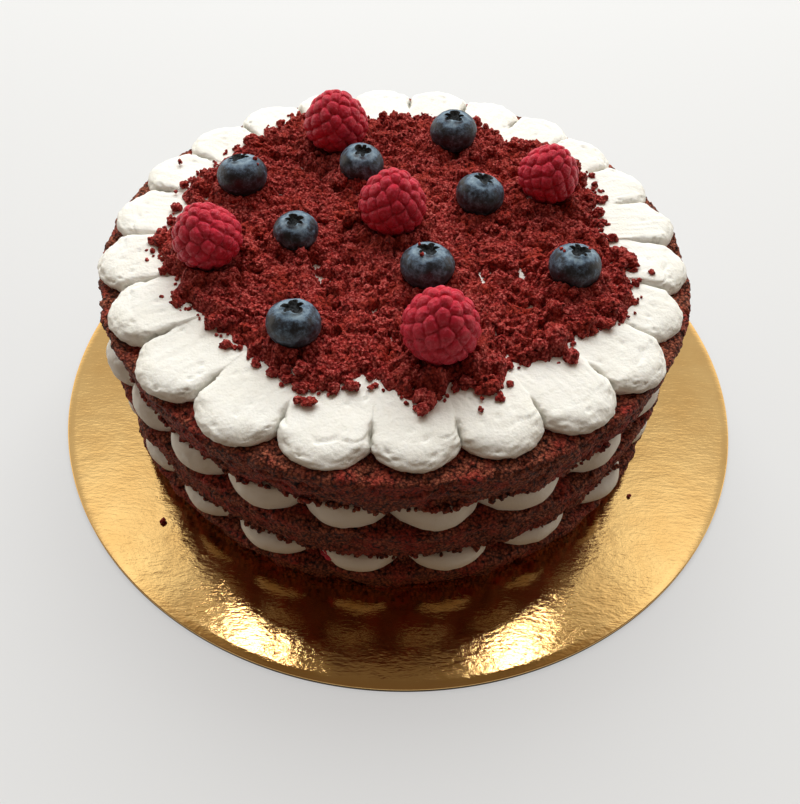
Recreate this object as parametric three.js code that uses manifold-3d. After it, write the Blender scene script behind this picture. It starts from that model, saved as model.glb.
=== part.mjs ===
// A red velvet layer cake on its round gold cake board: three sponges with cream between them, a ring of
// piped cream petals on top, a ragged bed of cake crumbs, and raspberries and blueberries set in it.
// Millimetres, +Z up. The origin is the middle of the board's underside.
import * as THREE from 'three';
import { ConvexGeometry } from 'three/addons/geometries/ConvexGeometry.js';
import { ImprovedNoise } from 'three/addons/math/ImprovedNoise.js';
import { mergeVertices } from 'three/addons/utils/BufferGeometryUtils.js';
import Module from 'manifold-3d';

const wasm = await Module();
wasm.setup();

// ---------------------------------------------------------------- driving dimensions
const GAP = 0.3; // air between one piece and the next
const BOARD_RADIUS = 125;
const BOARD_THICKNESS = 2;
const BOARD_EDGE_FOLD = 0.4; // small round of the foil over the card's edge
const CAKE_X = -3.4; // the cake stands a little off the board's centre
const CAKE_Y = 1.9;
const TOP_SHIFT_X = 0.4; // the top sponge and its cream were set down a little to the front of the layers below
const TOP_SHIFT_Y = -1.7;

// Heights of the layers' faces above the table.
const LOWER_CREAM_Z = 13;
const MIDDLE_SPONGE_Z = 19.5;
const MIDDLE_CREAM_Z = 36;
const TOP_SPONGE_Z = 46;
const TOP_CREAM_Z = 62.5;
const CRUMB_BED_Z = 68;

const SPONGE_TOP_RADIUS = 96.6; // each sponge flares a little towards its upper face
const SPONGE_FOOT_RADIUS = 94;
const TOP_SPONGE_TRIM = 1.2; // the top sponge is cut a little smaller than the others
const SPONGE_CRAG = 2; // how far the torn side wanders in and out
const SPONGE_CRAG_PITCH = 9;
const SPONGE_SEGMENTS = 72;

const PETAL_COUNT = 23; // piped dabs of cream round the rim of each cream layer
const PETAL_TIP_RADIUS = 13.2; // round end of one dab, seen from above
const PETAL_SMEAR_RADIUS = 68; // the dabs are smeared inwards to this circle
const PETAL_SEAM_DEPTH = 1.8; // groove between two dabs

const CREAM_PLATEAU_Z = CRUMB_BED_Z - GAP;

const CRUMB_BED_RADIUS = 72.6;
// The bed's outline swells and shrinks in broad lobes: how many round it, how deep, and where one points.
const CRUMB_BED_LOBES = [
  { waves: 1, depth: 1.5, bearing: -84 },
  { waves: 2, depth: 2.2, bearing: -18 },
  { waves: 4, depth: 0.8, bearing: 43 },
  { waves: 5, depth: 1.7, bearing: -26 },
  { waves: 7, depth: 1.0, bearing: -22 },
  { waves: 8, depth: 1.3, bearing: -17 },
  { waves: 9, depth: 1.0, bearing: 3 },
  { waves: 17, depth: 0.9, bearing: -1 },
];
const CRUMB_BED_RAGGED = 3; // how far its edge wanders besides
const CRUMB_HEIGHT = 2.2; // mean height of the bed
const CRUMB_BUMP = 2.2; // height of its lumps above and below that
const CRUMB_PITCH = 4.4; // distance from one lump to the next

const DRUPELETS = 60;
const DRUPELET_VALLEY = 0.9; // depth of the seams between drupelets, as a share of the reach
const GOLDEN_ANGLE = Math.PI * (3 - Math.sqrt(5));
const BERRY_FLOOR_Z = CRUMB_BED_Z + 1.1; // the berries are pressed almost to the cream
const BLUEBERRY_SEGMENTS = 10;

// Berries, placed from the cake's centre. A lean tips a berry over, towards the given bearing.
const RASPBERRIES = [
  { name: 'raspberry_back_left', x: -22.9, y: 44.3, width: 23.4, height: 21.7, lean: 8, bearing: 100 },
  { name: 'raspberry_right', x: 49.8, y: 18.7, width: 21.0, height: 19.6, lean: 14, bearing: 20 },
  { name: 'raspberry_middle', x: -1.3, y: -1.5, width: 22.2, height: 21.8, lean: 4, bearing: 80 },
  { name: 'raspberry_left', x: -56.1, y: -21.0, width: 21.6, height: 21.0, lean: 20, bearing: 150 },
  { name: 'raspberry_front', x: 13.8, y: -56.0, width: 22.6, height: 22.6, lean: 3, bearing: 90 },
];
const BLUEBERRIES = [
  { name: 'blueberry_back', x: 19.0, y: 47.8, width: 16.9, lean: 6, bearing: 250 },
  { name: 'blueberry_left', x: -51.9, y: 15.8, width: 16.8, lean: 12, bearing: 120 },
  { name: 'blueberry_upper', x: -12.8, y: 25.8, width: 15.4, lean: 8, bearing: 300 },
  { name: 'blueberry_upper_right', x: 27.1, y: 10.5, width: 16.1, lean: 8, bearing: 20 },
  { name: 'blueberry_middle_left', x: -30.9, y: -11.4, width: 14.3, lean: 10, bearing: 270 },
  { name: 'blueberry_centre', x: 10.2, y: -26.6, width: 16.5, lean: 6, bearing: 90 },
  { name: 'blueberry_right', x: 54.7, y: -23.9, width: 16.0, lean: 4, bearing: 60 },
  { name: 'blueberry_front', x: -26.8, y: -52.6, width: 15.7, lean: 5, bearing: 80 },
];
const BLUEBERRY_FLATNESS = 0.76; // height over width
const RASPBERRY_GIRTH = 0.44; // height of a raspberry's widest part, as a share of its height

// A scrap of raspberry that shows between two dabs of the lower cream.
const SCRAP = { bearing: -99.5, reach: 91.5, z: 16.3, width: 9, depth: 8, height: 5.2, drupelets: 12 };

// ---------------------------------------------------------------- helpers
const noise = new ImprovedNoise();
const degrees = THREE.MathUtils.degToRad;

// Smooth unevenness between about -1 and 1; channels are unrelated to one another.
function uneven(x, y, z, pitch, channel) {
  return 1.4 * noise.noise(x / pitch + 0.37, y / pitch + 0.61, z / pitch + 17.3 * channel);
}

function smoothstep(low, high, value) {
  return THREE.MathUtils.smoothstep(value, low, high);
}

// Leaves only shared positions, and drops the triangles that a point on the axis has collapsed.
function closedSurface(geometry) {
  geometry.deleteAttribute('normal');
  geometry.deleteAttribute('uv');
  const merged = mergeVertices(geometry, 1e-4);
  const index = merged.getIndex().array;
  const kept = [];
  for (let i = 0; i < index.length; i += 3) {
    const [a, b, c] = [index[i], index[i + 1], index[i + 2]];
    if (a !== b && b !== c && c !== a) {
      kept.push(a, b, c);
    }
  }
  merged.setIndex(kept);
  return merged;
}

// Turns a profile of [radius, z] pairs, from the axis below to the axis above, about +Z.
function turned(profile, segments) {
  const points = profile.map(([radius, z]) => new THREE.Vector2(radius, z));
  const geometry = new THREE.LatheGeometry(points, segments);
  geometry.rotateX(Math.PI / 2);
  return closedSurface(geometry);
}

// Moves every point of a geometry, given and returned as radius, angle and height.
function reshape(geometry, move) {
  const position = geometry.getAttribute('position');
  for (let i = 0; i < position.count; i += 1) {
    const x = position.getX(i);
    const y = position.getY(i);
    const moved = move(Math.hypot(x, y), Math.atan2(y, x), position.getZ(i));
    position.setXYZ(i, moved.radius * Math.cos(moved.angle), moved.radius * Math.sin(moved.angle), moved.z);
  }
  return geometry;
}

function toManifold(geometry) {
  return new wasm.Manifold(
    new wasm.Mesh({
      numProp: 3,
      vertProperties: new Float32Array(geometry.getAttribute('position').array),
      triVerts: new Uint32Array(geometry.getIndex().array),
    }),
  );
}

function fromManifold(solid) {
  const mesh = solid.getMesh();
  const geometry = new THREE.BufferGeometry();
  geometry.setAttribute('position', new THREE.BufferAttribute(new Float32Array(mesh.vertProperties), 3));
  geometry.setIndex(Array.from(mesh.triVerts));
  return geometry;
}

function material(color, roughness, metalness = 0) {
  return new THREE.MeshStandardMaterial({ color, roughness, metalness, flatShading: true });
}

const goldFoil = material('#d8b06a', 0.3, 0.9);
const redSponge = material('#5a1c1a', 0.95);
const cream = material('#f4efe6', 0.5);
const redCrumbs = material('#7a2423', 0.95);
const raspberryRed = material('#8c1f30', 0.45);
const blueberryBlue = material('#2f3a48', 0.55);

function piece(name, geometry, finish) {
  const mesh = new THREE.Mesh(geometry, finish);
  mesh.name = name;
  return mesh;
}

// ---------------------------------------------------------------- the board
function cakeBoard() {
  const inner = BOARD_RADIUS - BOARD_EDGE_FOLD;
  const profile = [
    [0, 0],
    [inner, 0],
    [BOARD_RADIUS, BOARD_EDGE_FOLD],
    [BOARD_RADIUS, BOARD_THICKNESS - BOARD_EDGE_FOLD],
    [inner, BOARD_THICKNESS],
    [0, BOARD_THICKNESS],
  ];
  return turned(profile, 80);
}

// ---------------------------------------------------------------- the sponges
// A disc of sponge with a torn, craggy side. Its lower edge is ragged: it lifts in places.
function sponge(bottom, top, channel, trim = 0) {
  const height = top - bottom;
  const footRadius = SPONGE_FOOT_RADIUS - trim;
  const topRadius = SPONGE_TOP_RADIUS - trim;
  const profile = [
    [0, bottom],
    [footRadius - 3, bottom],
    [footRadius, bottom + 0.1 * height],
    [THREE.MathUtils.lerp(footRadius, topRadius, 0.5), bottom + 0.5 * height],
    [topRadius, top - 0.8],
    [topRadius - 2, top],
    [0, top],
  ];
  return reshape(turned(profile, SPONGE_SEGMENTS), (radius, angle, z) => {
    const x = radius * Math.cos(angle);
    const y = radius * Math.sin(angle);
    const atSide = smoothstep(footRadius - 3.5, footRadius, radius);
    const crag = SPONGE_CRAG * uneven(x, y, z, SPONGE_CRAG_PITCH, channel) * atSide;
    const atFoot = atSide * (1 - smoothstep(0.15, 0.4, (z - bottom) / height));
    const lift = 1.2 * Math.max(0, uneven(x, y, 0, SPONGE_CRAG_PITCH, channel + 5)) * atFoot;
    return { radius: radius + crag, angle, z: z + lift };
  });
}

// ---------------------------------------------------------------- the cream layers
// The piping hand drifts: dabs bunch up on one side of the ring and spread out on the other.
function driftedAngle(evenAngle, ring) {
  return evenAngle + degrees(ring.phase + ring.drift * Math.cos(evenAngle - degrees(ring.driftBearing)));
}

// How far one dab reaches at a given angle off its own axis: a round tip on the way out.
function petalReach(tipReach, offAxis) {
  const centre = tipReach - PETAL_TIP_RADIUS;
  const across = centre * Math.sin(offAxis);
  return centre * Math.cos(offAxis) + Math.sqrt(PETAL_TIP_RADIUS ** 2 - across ** 2);
}

// A layer of cream whose rim is a ring of round dabs with grooves between them.
function pipedCream(profile, segmentsPerPetal, ring) {
  const pitch = (2 * Math.PI) / PETAL_COUNT;
  return reshape(turned(profile, PETAL_COUNT * segmentsPerPetal), (radius, angle, z) => {
    const offAxis = angle - pitch * Math.round(angle / pitch);
    const seam = Math.abs(offAxis) / (pitch / 2);
    const outward = smoothstep(PETAL_SMEAR_RADIUS, ring.tipReach, radius);
    const inset = (ring.tipReach - petalReach(ring.tipReach, offAxis)) * outward;
    const isTop = z > ring.bulgeZ;
    const groove = isTop ? outward * (PETAL_SEAM_DEPTH * seam ** 6 + 0.5 * seam ** 2) : 0;
    return { radius: radius - inset, angle: driftedAngle(angle, ring), z: z - groove };
  });
}

const TOP_RING = { phase: 5.6, drift: 4.7, driftBearing: -53, tipReach: 95, bulgeZ: 65 };
const MIDDLE_RING = { phase: 5.4, drift: 8.6, driftBearing: 74.7, tipReach: 96.5, bulgeZ: 40 };
const LOWER_RING = { phase: 6.3, drift: 9.4, driftBearing: 45, tipReach: 97.3, bulgeZ: 15.5 };

function topCream() {
  const tip = TOP_RING.tipReach;
  const profile = [
    [0, TOP_CREAM_Z + GAP],
    [tip - 2.2, TOP_CREAM_Z + GAP],
    [tip, TOP_RING.bulgeZ],
    [tip - 2.6, CREAM_PLATEAU_Z - 0.7],
    [tip - 8, CREAM_PLATEAU_Z],
    [tip - 17, CREAM_PLATEAU_Z],
    [PETAL_SMEAR_RADIUS, CREAM_PLATEAU_Z - 0.1],
    [0, CREAM_PLATEAU_Z - 0.1],
  ];
  return pipedCream(profile, 8, TOP_RING);
}

function creamFilling(bottom, top, ring) {
  const tip = ring.tipReach;
  const profile = [
    [0, bottom],
    [tip - 1.2, bottom],
    [tip, ring.bulgeZ - 0.5],
    [tip - 3.5, top],
    [0, top],
  ];
  return pipedCream(profile, 6, { ...ring, bulgeZ: Infinity });
}

// ---------------------------------------------------------------- the berries
// Evenly scattered directions, wound from the bottom of a sphere to its top.
function spiralDirections(count) {
  const directions = [];
  for (let i = 0; i < count; i += 1) {
    const z = -1 + (2 * i + 1) / count;
    const across = Math.sqrt(1 - z * z);
    const angle = i * GOLDEN_ANGLE;
    directions.push(new THREE.Vector3(across * Math.cos(angle), across * Math.sin(angle), z));
  }
  return directions;
}

// The middle of each triangle between neighbouring directions, where three drupelets meet.
function valleysBetween(directions) {
  const hull = new ConvexGeometry(directions).getAttribute('position');
  const valleys = [];
  for (let i = 0; i < hull.count; i += 3) {
    const valley = new THREE.Vector3();
    for (let corner = 0; corner < 3; corner += 1) {
      valley.add(new THREE.Vector3().fromBufferAttribute(hull, i + corner));
    }
    valleys.push(valley.normalize());
  }
  return valleys;
}

// Drupelets round a body of radius 1: each middle stands out to it, each seam lies inside it.
function knobblyBall(drupelets) {
  const peaks = spiralDirections(drupelets);
  const geometry = closedSurface(new ConvexGeometry([...peaks, ...valleysBetween(peaks)]));
  const position = geometry.getAttribute('position');
  const point = new THREE.Vector3();
  for (let i = 0; i < position.count; i += 1) {
    point.fromBufferAttribute(position, i);
    const isPeak = peaks.some((peak) => peak.distanceTo(point) < 1e-3);
    point.multiplyScalar(isPeak ? 1 : DRUPELET_VALLEY);
    position.setXYZ(i, point.x, point.y, point.z);
  }
  return geometry;
}

// A knobbly cone with a round tip, standing on the place of its stalk.
function raspberry(width, height) {
  return reshape(knobblyBall(DRUPELETS), (radius, angle, z) => {
    const taper = 1 - 0.16 * Math.max(0, z) ** 2;
    const share = z > 0 ? 1 - RASPBERRY_GIRTH : RASPBERRY_GIRTH;
    return { radius: (radius * taper * width) / 2, angle, z: height * (RASPBERRY_GIRTH + share * z) };
  });
}

// A flattened ball with a five-pointed crown round a shallow crater on top.
function blueberry(width) {
  const half = width / 2;
  const height = width * BLUEBERRY_FLATNESS;
  const profile = [
    [0, 0],
    [0.55 * half, 0.07 * height],
    [0.92 * half, 0.28 * height],
    [half, 0.52 * height],
    [0.82 * half, 0.82 * height],
    [0.5 * half, 0.96 * height],
    [0.34 * half, height],
    [0.26 * half, 0.88 * height],
    [0, 0.86 * height],
  ];
  const crownRim = profile[6][0];
  return reshape(turned(profile, BLUEBERRY_SEGMENTS), (radius, angle, z) => {
    const onRim = Math.abs(radius - crownRim) < 0.05;
    const point = Math.cos(5 * angle) > 0;
    const isCrown = onRim && z > 0.9 * height;
    return { radius: isCrown && point ? radius * 1.18 : radius, angle, z: isCrown && !point ? z - 0.5 : z };
  });
}

// Stands a berry on the bed, leaning towards a bearing; it turns about the middle of its girth.
function stand(mesh, berry, girth) {
  const across = degrees(berry.bearing + 90);
  const axis = new THREE.Vector3(Math.cos(across), Math.sin(across), 0);
  mesh.quaternion.setFromAxisAngle(axis, degrees(berry.lean));
  const swung = new THREE.Vector3(0, 0, girth).applyQuaternion(mesh.quaternion);
  mesh.position.set(berry.x - swung.x, berry.y - swung.y, BERRY_FLOOR_Z + girth - swung.z);
  mesh.updateMatrix();
  return mesh;
}

function raspberries() {
  return RASPBERRIES.map((berry) => {
    const mesh = piece(berry.name, raspberry(berry.width, berry.height), raspberryRed);
    return stand(mesh, berry, RASPBERRY_GIRTH * berry.height);
  });
}

function blueberries() {
  return BLUEBERRIES.map((berry) => {
    const mesh = piece(berry.name, blueberry(berry.width), blueberryBlue);
    return stand(mesh, berry, 0.5 * BLUEBERRY_FLATNESS * berry.width);
  });
}

function raspberryScrap() {
  const ball = knobblyBall(SCRAP.drupelets);
  ball.scale(SCRAP.depth / 2, SCRAP.width / 2, SCRAP.height / 2);
  const mesh = piece('raspberry_scrap', ball, raspberryRed);
  mesh.rotation.z = degrees(SCRAP.bearing);
  mesh.position.set(
    SCRAP.reach * Math.cos(mesh.rotation.z),
    SCRAP.reach * Math.sin(mesh.rotation.z),
    SCRAP.z,
  );
  mesh.updateMatrix();
  return mesh;
}

// A smooth hollow that holds a placed fruit and leaves the gap round it.
function pocketFor(fruit) {
  fruit.geometry.computeBoundingBox();
  const size = fruit.geometry.boundingBox.getSize(new THREE.Vector3());
  const middle = fruit.geometry.boundingBox.getCenter(new THREE.Vector3());
  const pocket = new THREE.SphereGeometry(1, 12, 8);
  pocket.rotateX(Math.PI / 2);
  pocket.scale(0.54 * size.x + GAP, 0.54 * size.y + GAP, 0.52 * size.z + GAP);
  pocket.translate(middle.x, middle.y, middle.z);
  return closedSurface(pocket.applyMatrix4(fruit.matrix));
}

// Cuts a pocket for each fruit out of what it is pressed into.
function pressedInto(geometry, fruits) {
  const pressed = fruits.reduce((solid, fruit) => solid.subtract(toManifold(pocketFor(fruit))), toManifold(geometry));
  return fromManifold(pressed);
}

// ---------------------------------------------------------------- the crumb bed
// How far the bed spreads at an angle.
function bedReach(angle) {
  const lobes = CRUMB_BED_LOBES.map((lobe) => lobe.depth * Math.cos(lobe.waves * (angle - degrees(lobe.bearing))));
  const ragged = CRUMB_BED_RAGGED * uneven(Math.cos(angle), Math.sin(angle), 0, 0.09, 4);
  return lobes.reduce((reach, lobe) => reach + lobe, CRUMB_BED_RADIUS + ragged);
}

// Points all over a disc of radius 1, wound in a spiral, with a ring of points on its rim.
function discPoints(pitch) {
  const count = Math.round(Math.PI / (pitch * pitch * 0.87));
  const rim = Math.round((2 * Math.PI) / pitch);
  const points = [];
  for (let i = 0; i < count; i += 1) {
    const radius = (1 - 0.8 * pitch) * Math.sqrt((i + 0.5) / count);
    points.push(new THREE.Vector3(radius * Math.cos(i * GOLDEN_ANGLE), radius * Math.sin(i * GOLDEN_ANGLE), 0));
  }
  for (let i = 0; i < rim; i += 1) {
    const angle = (i * 2 * Math.PI) / rim;
    points.push(new THREE.Vector3(Math.cos(angle), Math.sin(angle), 0));
  }
  return points;
}

// Lifting flat points onto a bowl and wrapping them in a hull joins each to its neighbours.
function crumbBed() {
  const points = discPoints(CRUMB_PITCH / CRUMB_BED_RADIUS);
  points.forEach((point) => point.setZ(1 - point.x ** 2 - point.y ** 2));
  const geometry = closedSurface(new ConvexGeometry(points));
  reshape(geometry, (radius, angle, z) => {
    const reach = radius * bedReach(angle);
    const x = reach * Math.cos(angle);
    const y = reach * Math.sin(angle);
    const lumps = 0.7 * uneven(x, y, 0, 3.1, 6) + 0.5 * uneven(x, y, 0, 13, 7);
    const height = z > 1e-6 ? CRUMB_HEIGHT + CRUMB_BUMP * lumps : 0;
    return { radius: reach, angle, z: CRUMB_BED_Z + height };
  });
  return geometry;
}

// ---------------------------------------------------------------- the whole cake
function assemble() {
  const fruits = [...raspberries(), ...blueberries()];
  const scrap = raspberryScrap();
  const lowerCream = creamFilling(LOWER_CREAM_Z + GAP, MIDDLE_SPONGE_Z, LOWER_RING);
  const topLayer = new THREE.Group();
  topLayer.position.set(TOP_SHIFT_X, TOP_SHIFT_Y, 0);
  topLayer.add(
    piece('sponge_top', sponge(TOP_SPONGE_Z + GAP, TOP_CREAM_Z, 3, TOP_SPONGE_TRIM), redSponge),
    piece('cream_top', topCream(), cream),
  );
  const cake = new THREE.Group();
  cake.position.set(CAKE_X, CAKE_Y, 0);
  cake.add(
    piece('sponge_bottom', sponge(BOARD_THICKNESS + GAP, LOWER_CREAM_Z, 1), redSponge),
    piece('cream_lower', pressedInto(lowerCream, [scrap]), cream),
    piece('sponge_middle', sponge(MIDDLE_SPONGE_Z + GAP, MIDDLE_CREAM_Z, 2), redSponge),
    piece('cream_middle', creamFilling(MIDDLE_CREAM_Z + GAP, TOP_SPONGE_Z, MIDDLE_RING), cream),
    topLayer,
    piece('crumb_bed', pressedInto(crumbBed(), fruits), redCrumbs),
    ...fruits,
    scrap,
  );
  const whole = new THREE.Group();
  whole.add(piece('cake_board', cakeBoard(), goldFoil), cake);
  return whole;
}

export default assemble();
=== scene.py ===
"""A red velvet layer cake with piped cream, cake crumbs and berries, on a round gold cake board.

Lengths are in millimetres from the middle of the board's underside, +Z up, until a mesh is made in metres.
"""

import itertools
import math

import bmesh
import bpy
import numpy as np
from mathutils import Matrix, Vector


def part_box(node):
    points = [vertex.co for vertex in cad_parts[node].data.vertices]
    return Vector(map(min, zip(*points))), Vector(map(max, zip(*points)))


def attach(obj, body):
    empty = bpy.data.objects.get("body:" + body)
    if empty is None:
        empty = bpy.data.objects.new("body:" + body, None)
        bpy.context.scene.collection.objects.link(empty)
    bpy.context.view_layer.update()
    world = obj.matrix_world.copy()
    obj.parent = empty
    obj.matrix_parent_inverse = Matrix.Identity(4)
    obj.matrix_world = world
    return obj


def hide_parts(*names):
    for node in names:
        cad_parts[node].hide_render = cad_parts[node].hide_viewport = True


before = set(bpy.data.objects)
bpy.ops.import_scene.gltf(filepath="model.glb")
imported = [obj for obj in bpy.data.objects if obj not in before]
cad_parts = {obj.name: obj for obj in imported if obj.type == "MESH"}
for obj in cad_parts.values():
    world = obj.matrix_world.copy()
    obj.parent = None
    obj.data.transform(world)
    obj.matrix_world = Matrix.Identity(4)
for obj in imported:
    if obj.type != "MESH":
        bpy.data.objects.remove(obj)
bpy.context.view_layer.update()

MM = 0.001

# -------- driving dimensions
BOARD_RADIUS = 125.0
BOARD_THICKNESS = 2.0
BOARD_COLUMNS = 360
CAKE_CENTRE = np.array([-3.4, 1.9, 0.0])

LOWER_CREAM_Z = 13.0
MIDDLE_SPONGE_Z = 19.5
MIDDLE_CREAM_Z = 36.0
TOP_SPONGE_Z = 46.0
TOP_CREAM_Z = 62.5
CREAM_PLATEAU_Z = 67.7
CRUMB_BED_Z = 68.0

SPONGE_TOP_RADIUS = 96.6
SPONGE_FOOT_RADIUS = 94.0
SPONGE_COLUMNS = 920
TOP_TRIM = 1.2
TOP_SHIFT = np.array([0.4, -1.7, 0.0])
# Where a sponge's lower edge hangs down over the cream: bearing and half width in degrees, mm.
OVERHANGS = {
    "sponge_top": [(-97.5, 1.6, 2.6), (-80.0, 6.5, 2.0), (-64.0, 4.0, 1.0)],
    "sponge_middle": [(-72.0, 5.0, 1.2)],
}

PETAL_COUNT = 23
PETAL_RADIUS = 13.2
TOP_RING = {"phase": 5.6, "drift": 4.7, "drift_bearing": -53.0, "reach": 95.0}
MIDDLE_RING = {"phase": 5.4, "drift": 8.6, "drift_bearing": 74.7, "reach": 96.5}
LOWER_RING = {"phase": 6.3, "drift": 9.4, "drift_bearing": 45.0, "reach": 97.3}
# Dabs that swell out further than the others, or less far: bearing in degrees and mm.
TOP_BULGES = [(-135, 1.5), (-118, 1.2), (-85, -2.6), (-68, -2.6)]
MIDDLE_BULGES = [(-154, 2.5)]
CREASE_END_RADIUS = 78.0
END_ROW_SHARE = 0.93

BED_RADIUS = 72.6
# The crumb bed's outline: waves round it, depth of each in mm, and a bearing where it swells.
BED_LOBES = [
    (1, 1.5, -84), (2, 2.2, -18), (4, 0.8, 43), (5, 1.7, -26),
    (7, 1.0, -22), (8, 1.3, -17), (9, 1.0, 3), (17, 0.9, -1),
]
# Bays in that outline where the cream shows: bearing and half width in degrees, depth in mm.
BED_BAYS = [
    (172, 3, 3.5), (126, 4, 3.5), (50, 4, 2.0), (0, 7, 4.5),
    (-41, 4, 5.5), (-60, 3, 6.5), (-73, 3, 7.0), (-97, 6, 5.0),
    (-122, 9, 3.0), (-156, 3, 4.5),
]

GRANULE_PITCH = 1.25
# Crumbs that lie apart, by the height of what is under them: x and y from the cake's middle, length, width.
LOOSE_CRUMBS = {
    CRUMB_BED_Z: [
        (-22.0, -75.5, 6.5, 2.6), (-4.4, -69.5, 1.5, 1.4), (-47.2, -55.3, 1.4, 1.2),
        (-42.2, -53.5, 1.2, 1.2), (-9.6, -69.1, 4.2, 2.6), (-25.6, -67.7, 2.6, 1.8),
        (-28.9, -66.1, 1.8, 1.5), (-73.8, -11.3, 5.0, 3.6), (-70.1, -25.0, 3.4, 1.8),
        (-62.7, -36.8, 5.5, 3.4), (-77.6, 32.5, 2.4, 2.0), (9.6, -77.6, 4.2, 3.6),
        (10.2, -73.0, 6.4, 4.6), (25.2, -75.4, 1.8, 1.2), (25.6, -71.5, 1.2, 1.1),
        (80.9, -17.5, 2.4, 2.0), (62.8, -41.6, 5.0, 3.4), (74.5, -22.1, 2.0, 1.8),
    ],
    BOARD_THICKNESS: [(-73.3, -74.5, 2.6, 2.4), (83.9, -57.1, 1.4, 1.2)],
}
# Crumbs that cling to blueberries: the berry, how far east and north in its half widths, size in mm.
BERRY_CRUMBS = [
    ("centre", -0.25, -0.30, 0.75), ("centre", -0.30, 0.30, 0.50), ("left", 0.62, 0.10, 0.75),
    ("left", 0.74, -0.12, 0.55), ("right", -0.62, 0.25, 0.65), ("right", -0.50, 0.05, 0.50),
    ("right", 0.45, 0.30, 0.55),
]

GOLDEN_ANGLE = math.pi * (3 - math.sqrt(5))
RASPBERRY_GIRTH = 0.44
# How far each berry leans and towards which bearing, in degrees.
RASPBERRY_LEANS = {
    "back_left": (8, 100),
    "right": (14, 20),
    "middle": (4, 80),
    "left": (20, 150),
    "front": (3, 90),
}
BLUEBERRY_LEANS = {
    "back": (6, 250),
    "left": (12, 120),
    "upper": (8, 300),
    "upper_right": (8, 20),
    "middle_left": (10, 270),
    "centre": (6, 90),
    "right": (4, 60),
    "front": (5, 80),
}
# A blueberry's section from its foot up: radius in half widths, height in heights.
BLUEBERRY_HEIGHT_SHARE = 0.76
BLUEBERRY_COLUMNS = 64
SKIN_ROWS = 38
SKIN_SECTION = [
    (0.02, 0.0), (0.25, 0.012), (0.50, 0.06), (0.72, 0.15), (0.89, 0.29),
    (0.98, 0.45), (0.99, 0.58), (0.93, 0.71), (0.80, 0.83), (0.62, 0.92),
    (0.46, 0.96), (0.38, 0.985), (0.33, 0.995),
]
CRATER_ROWS = 12
CRATER_SECTION = [(0.30, 0.985), (0.275, 0.95), (0.24, 0.91), (0.17, 0.885), (0.09, 0.88), (0.02, 0.89)]


# -------- numbers and repeatable noise
def smoothstep(low, high, value):
    """Goes smoothly from 0 at low to 1 at high."""
    t = np.clip((value - low) / (high - low), 0, 1)
    return t * t * (3 - 2 * t)


def polar(radius, angle):
    """x and y of a radius in a direction."""
    return radius * np.cos(angle), radius * np.sin(angle)


def all_round(count):
    """Even angles all the way round."""
    return np.arange(count) * 2 * math.pi / count


def degrees_off(angles, bearing):
    """How far angles lie from a bearing, from -180 to 180 degrees."""
    return (np.degrees(angles) - bearing + 180) % 360 - 180


def unit(vectors):
    """Vectors scaled to a length of 1."""
    return vectors / np.maximum(np.linalg.norm(vectors, axis=-1, keepdims=True), 1e-9)


def seeded(name):
    """A random generator whose draws depend only on the name."""
    return np.random.default_rng(sum(ord(letter) * (k + 1) for k, letter in enumerate(name)))


def hashed(place, seed):
    """A repeatable number from 0 to 1 for each whole-number place, an array (..., 3)."""
    x, y, z = np.moveaxis(place.astype(np.int64).astype(np.uint32), -1, 0)
    h = x * np.uint32(0x8DA6B343) ^ y * np.uint32(0xD8163841) ^ z * np.uint32(0xCB1AB31F)
    h ^= np.uint32((seed * 0x9E3779B1 + 0x7F4A7C15) & 0xFFFFFFFF)
    for shift, factor in ((15, 0x2C1B3C6D), (12, 0x297A2D39)):
        h ^= h >> np.uint32(shift)
        h *= np.uint32(factor)
    h ^= h >> np.uint32(15)
    return h.astype(float) / 2**32


def noise(points, pitch, seed):
    """Smooth noise from -1 to 1; pitch is the distance between its lumps, or one distance for each axis."""
    q = points / pitch
    cell = np.floor(q)
    part = q - cell
    part = part * part * part * (part * (part * 6 - 15) + 10)
    total = np.zeros(q.shape[:-1])
    for corner in itertools.product((0, 1), repeat=3):
        weight = np.prod(np.where(corner, part, 1 - part), axis=-1)
        total += weight * hashed(cell + corner, seed)
    return 2 * total - 1


def seeds_near(points, pitch, seed, flat=False):
    """The nearest of scattered seeds: its distance in pitches, its random number, the second's distance."""
    q = points / pitch
    cell = np.floor(q)
    nearest = np.full(q.shape[:-1], 9.0)
    second = nearest.copy()
    own = np.zeros(nearest.shape)
    for step in itertools.product((-1, 0, 1), (-1, 0, 1), (0,) if flat else (-1, 0, 1)):
        place = cell + step
        centre = place + np.stack([hashed(place, seed + axis) for axis in range(3)], axis=-1)
        if flat:
            centre[..., 2] = q[..., 2]
        distance = np.linalg.norm(q - centre, axis=-1)
        closer = distance < nearest
        second = np.where(closer, nearest, np.minimum(second, distance))
        nearest = np.where(closer, distance, nearest)
        own = np.where(closer, hashed(place, seed + 7), own)
    return nearest, own, second


def pillows(nearest, second, width=0.4):
    """Rounded cushions with thin creases between them: 0 in a crease, 1 on top."""
    inside = np.clip((second - nearest) / width, 0, 1)
    return np.sqrt(1 - (1 - inside) ** 2)


def granules(points, seed, pitch=GRANULE_PITCH):
    """Round granules of baked crumb: 1 at a granule's middle, 0 in the creases between."""
    nearest, _, second = seeds_near(points, pitch, seed)
    return 0.6 * pillows(nearest, second) + 0.4 * (1 - np.minimum(nearest, 1) ** 2)


def pits(points, pitch, seed, depth, rim, floor, rarity, flat=False):
    """A relief of pits from a rim to a floor, in pitches, at seeds with a random number above the rarity."""
    distance, own, _ = seeds_near(points, pitch, seed, flat)
    return -depth * smoothstep(rim, floor, distance) * (own > rarity)


# -------- meshes
def add_object(name, data):
    """Makes an object of a mesh, light or camera and puts it in the scene."""
    made = bpy.data.objects.new(name, data)
    bpy.context.scene.collection.objects.link(made)
    return made


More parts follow.
